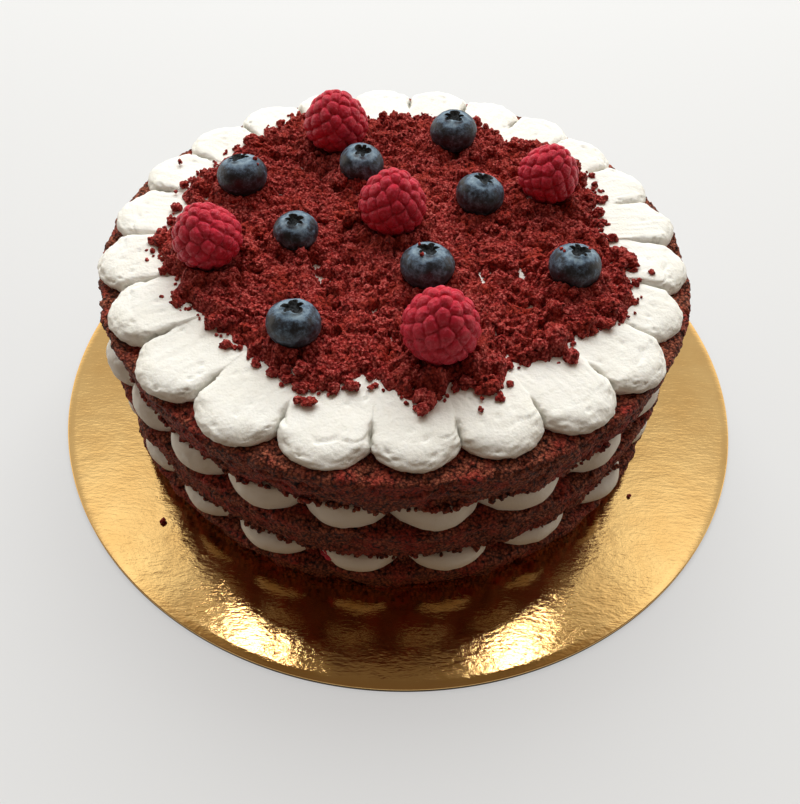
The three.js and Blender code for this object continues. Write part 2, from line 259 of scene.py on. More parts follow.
def mesh_object(name, points, faces, materials):
    """Makes a mesh object of points in mm."""
    mesh = bpy.data.meshes.new(name)
    mesh.from_pydata((np.asarray(points) * MM).tolist(), [], faces)
    for material in materials:
        mesh.materials.append(material)
    return add_object(name, mesh)


def mesh_piece(name, points, faces, materials, replaces=()):
    """Makes a smooth piece of the cake or board, puts it under the root body, and hides the parts it
    replaces.
    """
    piece = mesh_object(name, points, faces, materials)
    piece.data.shade_smooth()
    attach(piece, "root")
    if replaces:
        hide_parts(*replaces)
    return piece


def ring_piece(name, rings, materials, node_name, centre=(0.0, 0.0, 0.0)):
    """Makes a closed solid of rings, moved to its centre on the board, which stands for one node."""
    points = ring_points(rings) + centre
    return mesh_piece(name, points, ring_faces(*rings.shape[:2]), materials, [node_name])


def second_material(piece, *spans):
    """Gives a piece's second material to some spans of its faces."""
    chosen = np.zeros(len(piece.data.polygons), dtype=np.int32)
    for start, end in spans:
        chosen[start:end] = 1
    piece.data.polygons.foreach_set("material_index", chosen)


def note_on_points(piece, name, values):
    """Stores a number at each point of a ring piece for its material to read, and 0 at its two end points."""
    noted = piece.data.attributes.new(name, "FLOAT", "POINT")
    noted.data.foreach_set("value", np.append(values.ravel(), [0, 0]))


def strip(index, ahead):
    """Quads between a grid of point numbers and the same grid one column further on."""
    return np.stack([index[:-1], ahead[:-1], ahead[1:], index[1:]], axis=-1).reshape(-1, 4).tolist()


def fan(ahead, loop, point):
    """Triangles between a closed loop of point numbers, the same loop one step ahead and one more point."""
    return np.stack([ahead, loop, np.full(len(loop), point)], axis=1).tolist()


def ring_faces(rows, columns):
    """Faces of a closed solid made of rows of rings, with one more point at each end."""
    count = rows * columns
    index = np.arange(count).reshape(rows, columns)
    ahead = np.roll(index, -1, axis=1)
    return strip(index, ahead) + fan(ahead[0], index[0], count) + fan(index[-1], ahead[-1], count + 1)


def ring_points(rings):
    """Flattens rings and adds the middle point of the first and of the last row."""
    ends = [rings[0].mean(axis=0), rings[-1].mean(axis=0)]
    return np.vstack([rings.reshape(-1, 3), ends])


def ring_normals(rings):
    """Outward normals of a grid (rows, columns, 3) that closes on itself along each row."""
    along = np.roll(rings, -1, axis=1) - np.roll(rings, 1, axis=1)
    return unit(np.cross(along, np.gradient(rings, axis=0)))


def roughened(rings, relief):
    """Rings moved out along their normals by a relief in mm."""
    return rings + ring_normals(rings) * relief[..., None]


def turned(radius, z, angles):
    """Rings about an axis, an array (rows, columns, 3), from the radius and z of each row or point."""
    x, y = polar(radius, angles)
    return np.stack([x, y, np.broadcast_to(z, x.shape)], axis=-1)


def turned_section(section, columns):
    """Turns a section of [radius, z] rows about an axis into rings."""
    radius, z = np.asarray(section, dtype=float).T[..., None]
    return turned(radius, z, all_round(columns))


def measured(corners):
    """Length of each leg of a line through corners, and how far along the line each corner lies."""
    legs = np.linalg.norm(np.diff(corners, axis=0), axis=1)
    return legs, np.concatenate([[0], np.cumsum(legs)])


def sampled(corners, step):
    """Points about a step apart along a line through corners, each given as [radius, z]."""
    _, way = measured(corners)
    stops = np.linspace(0, way[-1], max(2, int(way[-1] / step)))
    return np.stack([np.interp(stops, way, line) for line in np.transpose(corners)], axis=1)


def smooth_section(section, count):
    """A smooth line of count points through a section's corners."""
    corners = np.array(section)
    legs, way = measured(corners)
    slopes = np.gradient(corners, way, axis=0)
    stops = np.linspace(0, way[-1], count)
    leg = np.clip(np.searchsorted(way, stops) - 1, 0, len(legs) - 1)
    span = legs[leg][:, None]
    t = (stops - way[leg])[:, None] / span
    return (
        (2 * t**3 - 3 * t**2 + 1) * corners[leg]
        + (t**3 - 2 * t**2 + t) * span * slopes[leg]
        + (3 * t**2 - 2 * t**3) * corners[leg + 1]
        + (t**3 - t**2) * span * slopes[leg + 1]
    )


def ball(subdivisions):
    """Directions and faces of an even ball."""
    shape = bmesh.new()
    bmesh.ops.create_icosphere(shape, subdivisions=subdivisions, radius=1.0)
    points = np.array([vertex.co[:] for vertex in shape.verts])
    faces = [[vertex.index for vertex in face.verts] for face in shape.faces]
    shape.free()
    return points, faces


# -------- materials
def join(socket, value):
    """Links another node's output to a socket, or sets the socket's own value."""
    if isinstance(value, bpy.types.NodeSocket):
        socket.id_data.links.new(value, socket)
    else:
        socket.default_value = value


def set_inputs(made, **inputs):
    """Links or sets inputs of a node; an input's name has _ for each space."""
    for name, value in inputs.items():
        join(made.inputs[name.replace("_", " ")], value)


def node(tree, kind, settings=None, **inputs):
    """Adds a node; an input is a value or another node's output."""
    made = tree.nodes.new("ShaderNode" + kind)
    for key, value in (settings or {}).items():
        setattr(made, key, value)
    set_inputs(made, **inputs)
    return made


def new_material(name):
    """A material with a Principled shader: returns it, the shader and a position socket."""
    material = bpy.data.materials.new(name)
    material.use_nodes = True
    tree = material.node_tree
    tree.nodes.clear()
    shader = node(tree, "BsdfPrincipled")
    node(tree, "OutputMaterial", Surface=shader.outputs[0])
    return material, shader, node(tree, "TexCoord").outputs["Object"]


def speckle(place, pitch_mm, detail=3.0, rough=0.55):
    """Noise from 0 to 1 whose lumps are about pitch_mm apart."""
    scale = 1 / (pitch_mm * MM)
    made = node(place.id_data, "TexNoise", Vector=place, Scale=scale, Detail=detail, Roughness=rough)
    return made.outputs["Fac"]


def cells(place, pitch_mm):
    """Distance to the nearest of scattered seeds about pitch_mm apart."""
    made = node(place.id_data, "TexVoronoi", Vector=place, Scale=1 / (pitch_mm * MM))
    return made.outputs["Distance"]


def ramp(fac, stops):
    """A colour ramp through (position, colour) stops, where a single number stands for a grey."""
    made = node(fac.id_data, "ValToRGB", Fac=fac)
    elements = made.color_ramp.elements
    while len(elements) < len(stops):
        elements.new(0.5)
    for element, (position, colour) in zip(elements, stops):
        element.position = position
        element.color = (*np.broadcast_to(colour, 3).tolist(), 1)
    return made.outputs["Color"]


def mixed(fac, first, second):
    """Mixes two colours."""
    made = node(fac.id_data, "Mix", {"data_type": "RGBA"})
    for k, value in ((0, fac), (6, first), (7, second)):
        join(made.inputs[k], (*value, 1) if isinstance(value, tuple) else value)
    return made.outputs[2]


def maths(operation, first, *others, kind="Math"):
    """One operation on up to three values, of which the first is another node's output."""
    made = node(first.id_data, kind, {"operation": operation})
    for socket, value in zip(made.inputs, (first, *others)):
        join(socket, value)
    return made.outputs[0]


def attribute(place, name):
    """A number that a mesh carries at each of its points, or 0 where it has none."""
    return node(place.id_data, "Attribute", {"attribute_name": name}).outputs["Fac"]


def bumped(shader, heights):
    """Stacks (height socket, depth in mm) bumps on a shader's normal."""
    normal = {}
    for height, depth_mm in heights:
        bump = node(shader.id_data, "Bump", Height=height, Distance=depth_mm * MM, **normal)
        normal = {"Normal": bump.outputs["Normal"]}
    set_inputs(shader, **normal)


def foil_material():
    """Gold foil over card: a soft mirror with a fine, shallow grain of short ripples."""
    material, shader, place = new_material("gold_foil")
    squeezed = node(place.id_data, "Mapping", Vector=place, Scale=(0.40, 1.0, 1.0)).outputs["Vector"]
    ripples = speckle(squeezed, 0.9, 3.0, 0.6)
    creases = speckle(squeezed, 3.2, 3.0, 0.6)
    fine = speckle(place, 0.5, 2.0)
    broad = speckle(place, 14.0, 2.0)
    colour = ramp(broad, [(0.3, (0.77, 0.475, 0.175)), (0.7, (0.84, 0.55, 0.22))])
    roughness = ramp(speckle(place, 4.0), [(0.3, 0.06), (0.7, 0.10)])
    set_inputs(shader, Metallic=1.0, Base_Color=colour, Roughness=roughness)
    bumped(shader, [(broad, 0.08), (creases, 0.075), (ripples, 0.05), (fine, 0.008)])
    return material


def dry_material(name, pitch_mm, detail, stops, depth_mm):
    """A dull, fibrous surface: raw card, or the dried inside of a blueberry's crown."""
    material, shader, place = new_material(name)
    fibres = speckle(place, pitch_mm, detail)
    set_inputs(shader, Base_Color=ramp(fibres, stops), Roughness=0.8)
    bumped(shader, [(fibres, depth_mm)])
    return material


def cream_material():
    """Whipped cream: bright, slightly translucent, with tiny air bubbles, and painted shade that darkens it
    along the creases between dabs.
    """
    material, shader, place = new_material("whipped_cream")
    tone = speckle(place, 14.0, 3.0)
    colour = ramp(tone, [(0.3, (0.90, 0.88, 0.82)), (0.7, (0.93, 0.92, 0.88))])
    # Painted shade: a dim grey-brown is mixed into the colour by the cover's crease number, along the creases
    # between dabs.
    paint = mixed(attribute(place, "crease"), colour, (0.34, 0.32, 0.26))
    set_inputs(shader, Base_Color=paint, Roughness=0.5, Specular_IOR_Level=0.3)
    set_inputs(shader, Subsurface_Weight=0.12, Subsurface_Radius=(1.0, 0.9, 0.75))
    set_inputs(shader, Subsurface_Scale=0.0012)
    bumped(shader, [(speckle(place, 1.6, 4.0, 0.6), 0.26), (cells(place, 0.9), 0.05)])
    return material


def grains_of(place, pitch_mm):
    """Rounded grains about pitch_mm apart, out of any regular order: 1 on top, lower in the creases."""
    scale = 1 / (2.4 * pitch_mm * MM)
    wander = node(place.id_data, "TexNoise", Vector=place, Scale=scale, Detail=1.0)
    reach = [0.55 * pitch_mm * MM] * 3
    bent = maths("MULTIPLY_ADD", wander.outputs["Color"], reach, place, kind="VectorMath")
    distance = cells(bent, pitch_mm)
    return maths("MULTIPLY_ADD", maths("MULTIPLY", distance, distance), -1.0, 1.0)


def cake_material(name, dark, middle, bright, patch):
    """Baked crumb: its colour follows the grain relief, with painted shade in the pores and the creases
    between grains and a painted highlight on the grain tops, over random tone and patches of a second colour.
    """
    material, shader, place = new_material(name)
    coarse = grains_of(place, 0.95)
    fine = grains_of(place, 0.50)
    tone = speckle(place, 1.6, 4.0, 0.65)
    # The colour's level: mostly the grains' relief, which carries the painted shade and highlight, and partly
    # random tone.
    level = maths("MULTIPLY_ADD", coarse, 0.62, maths("MULTIPLY", fine, 0.22))
    level = maths("MULTIPLY_ADD", tone, 0.42, level)
    painted_grain_light_and_tone = maths("MULTIPLY", level, 0.9)
    # Painted shade: the first colour sits in the pores and creases. Painted highlight: the third colour sits
    # on the grain tops. The patches darken in the creases too.
    colour = ramp(painted_grain_light_and_tone, [(0.468, dark), (0.738, middle), (0.918, bright)])
    other = ramp(level, [(0.50, dark), (0.95, patch)])
    patches = ramp(speckle(place, 8.0, 3.0), [(0.46, 0.0), (0.70, 1.0)])
    set_inputs(shader, Base_Color=mixed(patches, colour, other), Roughness=0.7)
    set_inputs(shader, Specular_IOR_Level=0.3, Subsurface_Weight=0.05, Subsurface_Scale=0.001)
    bumped(shader, [(coarse, 0.46), (fine, 0.22), (speckle(place, 0.45, 2.0), 0.08)])
    return material


def raspberry_material():
    """Ripe raspberry skin: bright pink-red and crinkled, with a painted pale highlight on the crests of its
    folds.
    """
    material, shader, place = new_material("raspberry_skin")
    tone = speckle(place, 3.5, 3.0)
    folds = speckle(place, 0.9, 4.0, 0.6)
    skin = ramp(tone, [(0.3, (0.45, 0.007, 0.026)), (0.7, (0.68, 0.016, 0.050))])
    # Painted highlight: a pale pink is mixed in where the fold relief is highest, on the crests of the folds.
    paint = mixed(ramp(folds, [(0.50, 0.0), (0.78, 0.6)]), skin, (0.80, 0.14, 0.22))
    set_inputs(shader, Base_Color=paint, Roughness=0.42, Specular_IOR_Level=0.35)
    set_inputs(shader, Subsurface_Weight=0.15, Subsurface_Radius=(1.0, 0.25, 0.2))
    set_inputs(shader, Subsurface_Scale=0.0012, Sheen_Weight=0.08, Sheen_Tint=(1.0, 0.55, 0.62, 1))
    bumped(shader, [(folds, 0.36), (speckle(place, 0.4, 3.0), 0.08)])
    return material


def blueberry_material():
    """Blueberry skin: near-black blue under a patchy pale bloom, thickest round the crown."""
    material, shader, place = new_material("blueberry_skin")
    broad = speckle(place, 4.0, 2.0)
    scuffs = speckle(place, 1.3, 8.0, 0.8)
    amount = maths("MULTIPLY_ADD", broad, 0.40, maths("MULTIPLY", scuffs, 0.62))
    amount = maths("MULTIPLY_ADD", attribute(place, "bloom"), 0.16, amount)
    stops = [
        (0.46, (0.005, 0.006, 0.010)),
        (0.53, (0.033, 0.050, 0.076)),
        (0.60, (0.100, 0.160, 0.235)),
        (0.76, (0.28, 0.38, 0.46)),
    ]
    roughness = ramp(amount, [(0.40, 0.34), (0.62, 0.62)])
    set_inputs(shader, Base_Color=ramp(amount, stops), Roughness=roughness)
    set_inputs(shader, Sheen_Weight=0.05, Sheen_Tint=(0.7, 0.8, 0.9, 1))
    bumped(shader, [(speckle(place, 1.2, 4.0), 0.14)])
    return material


FOIL = foil_material()
CARD = dry_material("card_edge", 0.4, 4.0, [(0.3, (0.05, 0.033, 0.015)), (0.7, (0.12, 0.085, 0.04))], 0.05)
CREAM = cream_material()
# Each crumb has four colours: painted shade for its pores and creases, its own middle colour, a painted
# highlight for its grain tops, and the colour of its redder patches.
SPONGE = cake_material(
    "sponge_crumb", (0.016, 0.003, 0.002), (0.155, 0.036, 0.020), (0.47, 0.140, 0.078), (0.40, 0.038, 0.027)
)
CRUMB = cake_material(
    "red_crumb", (0.105, 0.002, 0.002), (0.30, 0.018, 0.016), (0.62, 0.140, 0.120), (0.40, 0.036, 0.020)
)
RASPBERRY = raspberry_material()
BLUEBERRY = blueberry_material()
CROWN_STOPS = [(0.4, (0.006, 0.007, 0.009)), (0.75, (0.075, 0.085, 0.095))]
CROWN = dry_material("blueberry_crown", 0.7, 3.0, CROWN_STOPS, 0.25)


# -------- the board
def cake_board():
    """A thin card disc with foil on its face; its edge and back are bare card."""
    fold = 0.4
    bevel = 0.12
    section = [
        (60.0, 0.0),
        (BOARD_RADIUS - 0.3, 0.0),
        (BOARD_RADIUS, 0.3),
        (BOARD_RADIUS, BOARD_THICKNESS - fold),
        (BOARD_RADIUS - bevel, BOARD_THICKNESS - bevel),
        (BOARD_RADIUS - fold, BOARD_THICKNESS),
        (BOARD_RADIUS - 3.0, BOARD_THICKNESS),
        (60.0, BOARD_THICKNESS),
    ]
    rings = turned_section(section, BOARD_COLUMNS)
    board = ring_piece("board", rings, [FOIL, CARD], "cake_board")
    card_rows = 3
    underside = (len(section) - 1) * BOARD_COLUMNS
    second_material(board, (0, card_rows * BOARD_COLUMNS), (underside, underside + BOARD_COLUMNS))


# -------- the sponges
def sponge(node_name, bottom, top, seed, trim=0.0, shift=0.0, shown=4.0):
    """A disc of sponge: porous crumb at its torn side, and a lower edge that hangs in ragged teeth."""
    foot_radius = SPONGE_FOOT_RADIUS - trim
    top_radius = SPONGE_TOP_RADIUS - trim
    hidden_radius = top_radius - shown
    corners = [
        (foot_radius - 1.6, bottom),
        (foot_radius - 0.5, bottom),
        (foot_radius, bottom + 0.6),
        (top_radius, top - 1.0),
        (top_radius - 1.0, top),
        (hidden_radius, top),
    ]
    section = [(foot_radius - 9, bottom), *sampled(corners, 0.62), (hidden_radius - 6, top)]
    rings = turned_section(section, SPONGE_COLUMNS)
    x, y, z = np.moveaxis(rings, -1, 0)
    radius = np.linalg.norm(rings[..., :2], axis=-1)
    is_top = z > top - 0.5
    beyond_foot = smoothstep(foot_radius - 3, foot_radius - 1, radius)
    outer = np.where(is_top, smoothstep(hidden_radius - 2, hidden_radius, radius), beyond_foot)
    pores = pits(rings, 2.8, seed + 20, 1.2, 0.42, 0.2, 0.66)
    cracks = -1.5 * smoothstep(0.42, 0.62, noise(rings, [7.0, 7.0, 1.6], seed + 6)) * ~is_top
    relief = 0.9 * noise(rings, 15.0, seed) + 0.7 * noise(rings, 4.6, seed + 1) + pores + cracks
    relief += 0.7 * (granules(rings, seed + 2, 1.5) - 0.55) + 0.3 * noise(rings, 1.4, seed + 3)
    around = rings * [1, 1, 0]
    fringe = noise(around, 5.5, seed + 5) + 0.7 * noise(around, 2.2, seed + 7)
    fringe += 1.9 * (granules(around, seed + 4, 1.7) - 0.5)
    for bearing, width, drop in OVERHANGS.get(node_name, []):
        off = degrees_off(np.arctan2(y, x), bearing)
        fringe += drop * smoothstep(1.0, 0.55, np.abs(off) / width)
    fringe *= smoothstep(bottom + 5, bottom, z) * beyond_foot
    rings = roughened(rings, relief * outer)
    rings[..., 2] = np.maximum(rings[..., 2] - fringe, BOARD_THICKNESS + 0.02)
    ring_piece("crumb_" + node_name, rings, [SPONGE], node_name, CAKE_CENTRE + shift)


# -------- the cream
def dab_angles(steps, ring):
    """Angles of places round a ring, counted in dabs; the piping hand drifts a little."""
    even = steps * 2 * math.pi / PETAL_COUNT
    drift = ring["drift"] * np.cos(even - math.radians(ring["drift_bearing"]))
    return even + np.radians(ring["phase"] + drift)


def petal_angles(ring, per_petal):
    """Angles all round, closest together at the seams between two dabs."""
    even = np.arange(PETAL_COUNT * per_petal) / per_petal
    dab = np.floor(even)
    part = even - dab - 0.5
    spread = 0.45 * part + 0.275 * np.sin(math.pi * part)
    return dab_angles(dab + 1.0 + spread, ring)


def petal_field(x, y, ring, sizes):
    """Each point's depth in its dab, the dab, its place across it, the seam's distance and share aside."""
    depth = np.full(x.shape, -99.0)
    second = depth.copy()
    owner = np.zeros(x.shape, dtype=int)
    across = np.zeros(x.shape)
    aside = np.zeros(x.shape)
    for k, tip in enumerate(dab_angles(np.arange(PETAL_COUNT), ring)):
        along = x * math.cos(tip) + y * math.sin(tip)
        side = -x * math.sin(tip) + y * math.cos(tip)
        centre = ring["reach"] + sizes["reach"][k] - sizes["radius"][k]
        from_centre = np.hypot(np.maximum(along - centre, 0), side)
        inside = np.where(along < 0, -99.0, sizes["radius"][k] - from_centre)
        better = inside > depth
        second = np.where(better, depth, np.maximum(second, inside))
        depth = np.where(better, inside, depth)
        owner = np.where(better, k, owner)
        across = np.where(better, side, across)
        aside = np.where(better, np.abs(side) / np.maximum(from_centre, 0.1), aside)
    return depth, owner, across, depth - second, aside


def petal_sizes(name, ring, bulges=()):
    """Each dab's own reach, radius and height; where the dabs are spread out they are wider."""
    draw = seeded(name)
    tips = np.unwrap(dab_angles(np.arange(PETAL_COUNT), ring))
    room = np.append(np.diff(tips), tips[0] + 2 * math.pi - tips[-1])
    room = (room + np.roll(room, 1)) / 2 * PETAL_COUNT / (2 * math.pi)
    reach = draw.normal(0, 0.5, PETAL_COUNT)
    for bearing, further in bulges:
        reach[np.argmin(np.abs(degrees_off(tips, bearing)))] += further
    return {
        "reach": reach,
        "radius": PETAL_RADIUS * room + draw.normal(0, 0.35, PETAL_COUNT),
        "height": draw.normal(0, 0.3, PETAL_COUNT),
        "tilt": draw.normal(0.02, 0.02, PETAL_COUNT),
        "turn": draw.uniform(-1, 1, PETAL_COUNT),
    }


def outline_reach(angles, ring, sizes):
    """Where the dabs' common outline lies in each direction, found by halving."""
    low = np.full(angles.shape, 70.0)
    high = np.full(angles.shape, 110.0)
    for _ in range(24):
        middle = (low + high) / 2
        inside = petal_field(*polar(middle, angles), ring, sizes)[0] > 0
        low = np.where(inside, middle, low)
        high = np.where(inside, high, middle)
    return low


def spatula_marks(points, sizes, owner, across, radius, share):
    """What the spatula left on each dab: a lip along part of its flat top, fine streaks and a few dents."""
    turn = sizes["turn"][owner]
    bent = across + 6 * turn * ((radius - 80) / 12) ** 2
    streaks = noise(np.stack([bent / 1.1, radius / 9.0, owner * 5.0], axis=-1), 1.0, 52)
    line = 1.02 + 0.012 * across * np.sign(turn) + 0.10 * noise(points, 5.0, 54)
    strength = smoothstep(-0.45, 0.55, across / PETAL_RADIUS * np.sign(turn) + 0.3 * noise(points, 9.0, 55))
    strength = strength * smoothstep(0.10, 0.45, np.abs(turn)) * smoothstep(74, 80, radius)
    fold = -0.55 * np.exp(-(((share - line) / 0.07) ** 2)) + 0.34 * smoothstep(-0.05, 0.10, share - line)
    return 0.09 * streaks + fold * strength + pits(points, 6.5, 53, 0.5, 0.16, 0.05, 0.5, flat=True)


def top_cream():
    """The cream cover: a ring of round dabs, flat on top, with pitted faces and creases between them, and
    painted shade along the creases.
    """
    sizes = petal_sizes("top cream", TOP_RING, TOP_BULGES)
    angles = petal_angles(TOP_RING, 42)
    foot = TOP_CREAM_Z + 0.3
    height = CREAM_PLATEAU_Z - foot
    face_width = 7.5
    side_width = 2.2
    fullness = 2.3
    turns = np.linspace(0, math.pi / 2, 24)
    insets = np.concatenate([face_width * (1 - np.cos(turns)), face_width + np.linspace(0.8, 22, 25)])
    radius = outline_reach(angles, TOP_RING, sizes) - insets[:, None]
    depth, owner, across, seam, aside = petal_field(*polar(radius, angles), TOP_RING, sizes)
    share = depth / (face_width + (side_width - face_width) * smoothstep(0.66, 0.98, aside))
    rise = (1 - (1 - np.clip(share, 0, 1)) ** fullness) ** (1 / fullness)
    crown = (sizes["height"][owner] + sizes["tilt"][owner] * across) * smoothstep(64, 80, radius)
    crease_end = CREASE_END_RADIUS + 1.5 * sizes["turn"][owner]
    along_crease = smoothstep(crease_end - 1, crease_end + 4, radius)
    crease = (2.5 * np.exp(-np.abs(seam) / 0.65) + 0.55 * np.exp(-((seam / 3.0) ** 2))) * along_crease
    crease += 0.6 * np.exp(-(seam**2) - ((radius - crease_end - 0.5) / 1.1) ** 2)
    z = foot + rise * (height + crown - crease)
    undercut = 1.6 * (1 - np.clip((z - foot) / (0.5 * height), 0, 1)) ** 2
    rings = turned(radius - undercut, z, angles)
    normals = ring_normals(rings)
    face = 1 - smoothstep(0.80, 0.99, normals[..., 2])
    lumps = noise(rings, [2.6, 2.6, 1.1], 31) + 0.9 * noise(rings, [1.4, 1.4, 0.7], 32)
    holes = pits(rings * [1, 1, 1.8], 1.9, 33, 0.6, 0.38, 0.14, 0.6)
    relief = face * (0.25 * lumps + holes) + 0.14 * noise(rings, 7.0, 34) + 0.05 * noise(rings, 1.7, 35)
    relief += (1 - 0.6 * face) * spatula_marks(rings, sizes, owner, across, radius, share)
    rings = rings + normals * relief[..., None]
    under = rings[:1] * [END_ROW_SHARE, END_ROW_SHARE, 0] + [0, 0, foot]
    rings = np.vstack([under, rings])
    cover = ring_piece("cream_cover", rings, [CREAM], "cream_top", CAKE_CENTRE + TOP_SHIFT)
    # Painted shade for the creases: strongest on each seam from the crease's inner end outward, weaker where
    # the dab is thin.
    painted_crease_shade = np.exp(-((seam / 0.75) ** 2)) * along_crease * smoothstep(0.0, 1.5, depth)
    note_on_points(cover, "crease", np.vstack([np.zeros(len(angles)), painted_crease_shade]))


def cream_filling(node_name, bottom, top, ring, seed, bulges=()):
    """A cream layer between two sponges: smooth round dabs with a few small pits."""
    sizes = petal_sizes(node_name, ring, bulges)
    angles = petal_angles(ring, 30)
    turns = np.linspace(-0.42, 0.47, 16) * math.pi
    level = np.sin(turns)
    z = bottom + (top - bottom) * (level - level[0]) / (level[-1] - level[0])
    radius = outline_reach(angles, ring, sizes) - 2.6 * (1 - np.cos(turns))[:, None]
    radius = np.vstack([radius[0] * END_ROW_SHARE, radius, radius[-1] * END_ROW_SHARE])
    rings = turned(radius, np.concatenate([[bottom], z, [top]])[:, None], angles)
    hollows = pits(rings, 3.4, seed + 3, 0.5, 0.2, 0.06, 0.5)
    relief = 0.30 * noise(rings, 8.0, seed) + 0.20 * noise(rings, [2.2, 2.2, 4.0], seed + 1) + hollows
    ring_piece("filling_" + node_name, roughened(rings, relief), [CREAM], node_name, CAKE_CENTRE)


# -------- the berries
def node_box(name):
    """A node's lowest and highest corner, in mm."""
    low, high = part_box(name)
    return np.array(low) / MM, np.array(high) / MM


def set_down(points, lean, bearing, low, high):
    """Leans a berry by some degrees towards a bearing and sets it down in the middle of its node's box."""
    across = math.radians(bearing + 90)
    turn = Matrix.Rotation(math.radians(lean), 3, Vector((math.cos(across), math.sin(across), 0)))
    points = points @ np.array(turn).T + [*((low + high) / 2)[:2], 0]
    points[..., 2] += low[2] - points[..., 2].min()
    return points


def spiral_directions(count, draw):
    """Nearly even directions on a ball, each a little off its place."""
    k = np.arange(count)
    z = -1 + (2 * k + 1) / count
    directions = np.stack([*polar(np.sqrt(1 - z * z), k * GOLDEN_ANGLE), z], axis=1)
    return unit(directions + draw.normal(0, 0.035, directions.shape))


def drupelet_reach(directions, draw, count):
    """How far a raspberry of radius 1 reaches: plump drupelets with thin creases between them."""
    centres = spiral_directions(count, draw)
    apart = np.sqrt(np.maximum(2 - 2 * directions @ centres.T, 0)) * draw.normal(1.0, 0.04, count)
    owner = np.argmin(apart, axis=1)
    nearest, second = np.sort(apart, axis=1)[:, :2].T
    dome = 0.035 * (nearest / 0.20) ** 2
    return 1 - 0.088 * (1 - pillows(nearest, second, 0.15)) - dome, owner


def raspberry(name):
    """A knobbly cone of drupelets with a round tip, over the node's own middle."""
    low, high = node_box("raspberry_" + name)
    half = max((high - low)[:2]) / 2
    height = high[2] - low[2]
    directions, faces = ball(6)
    reach, owner = drupelet_reach(directions, seeded("raspberry " + name), 80)
    z = directions[:, 2]
    across = half * (1 - 0.20 * np.maximum(0, z) ** 2) * reach
    up = height * np.where(z > 0, 1 - RASPBERRY_GIRTH, RASPBERRY_GIRTH) * reach
    points = directions * np.stack([across, across, up], axis=1)
    own = points + owner[:, None] * 3.7
    folds = 0.16 * noise(own, [1.9, 1.9, 0.9], 61) + 0.08 * noise(own, 0.8, 62)
    points = set_down(points + directions * folds[:, None], *RASPBERRY_LEANS[name], low, high)
    mesh_piece("berry_red_" + name, points, faces, [RASPBERRY], ["raspberry_" + name])


def blueberry(name):
    """A flattened ball with a star-shaped crown on top, whose crater is dark."""
    low, high = node_box("blueberry_" + name)
    half = max((high - low)[:2]) / 2
    height = half * 2 * BLUEBERRY_HEIGHT_SHARE
    draw = seeded("blueberry " + name)
    columns = BLUEBERRY_COLUMNS
    skin = smooth_section(SKIN_SECTION, SKIN_ROWS)
    section = np.vstack([skin, smooth_section(CRATER_SECTION, CRATER_ROWS)])
    rings = turned_section(section * [half, height], columns)
    share, level = section.T[..., None]
    at_rim = np.exp(-(((share - 0.31) / 0.09) ** 2)) * (level > 0.85)
    angles = all_round(columns)
    wave = 5 * (angles + 0.32 * np.sin(2 * angles + draw.uniform(0, 6.28))) + draw.uniform(0, 6.28)
    star = np.abs(np.cos(wave / 2)) - 0.5
    rings[..., :2] *= (1 + at_rim * star * 0.62)[..., None]
    rings[..., 2] += at_rim * (0.5 - np.abs(star)) * 0.05 * height
    offset = draw.uniform(0, 90, 3)
    relief = 0.22 * noise(rings + offset, 5.0, 71) + 0.07 * noise(rings + offset, 1.3, 72)
    rings = roughened(rings, relief) - [0, 0, height / 2]
    rings = set_down(rings, *BLUEBERRY_LEANS[name], low, high)
    berry = ring_piece("berry_blue_" + name, rings, [BLUEBERRY, CROWN], "blueberry_" + name)
    rows = len(section)
    second_material(berry, ((SKIN_ROWS - 1) * columns, (rows - 1) * columns), (rows * columns, None))
    bloom = smoothstep(0.78, 0.50, share) * (level > 0.7)
    note_on_points(berry, "bloom", np.repeat(bloom, columns, axis=1))


def raspberry_scrap():
    """A torn scrap of raspberry at the front of the lower cream."""
    low, high = node_box("raspberry_scrap")
    directions, faces = ball(4)
    reach, _ = drupelet_reach(directions, seeded("scrap"), 14)
    points = directions * reach[:, None] * (high - low) / 2 * 1.04
    points += directions * 0.1 * noise(points, 0.9, 81)[:, None] + (low + high) / 2
    mesh_piece("fruit_scrap", points, faces, [RASPBERRY], ["raspberry_scrap"])


# -------- the crumb bed
def berry_shapes():
    """Middle and half size of every berry's box on the cake, in the cake's own frame."""
    names = ["raspberry_" + name for name in RASPBERRY_LEANS]
    names += ["blueberry_" + name for name in BLUEBERRY_LEANS]
    shapes = []
    for name in names:
        low, high = node_box(name)
        middle = (low + high) / 2 - CAKE_CENTRE
        if name.startswith("rasp"):
            middle[2] = low[2] + RASPBERRY_GIRTH * (high[2] - low[2])
        shapes.append((middle, (high - low) / 2))
    return shapes


BERRY_SHAPES = berry_shapes()


def bed_reach(angles):
    """How far the crumb bed spreads in each direction."""
    around = np.stack([*polar(1.0, angles), 0 * angles], axis=-1)
    reach = BED_RADIUS + 1.5 * noise(around, 0.09, 91) + 1.4 * noise(around, 0.035, 92)
    for waves, depth, bearing in BED_LOBES:
        reach += depth * np.cos(waves * (angles - math.radians(bearing)))
    for bearing, width, depth in BED_BAYS:
        reach -= depth * np.exp(-((degrees_off(angles, bearing) / width) ** 2))
    return reach


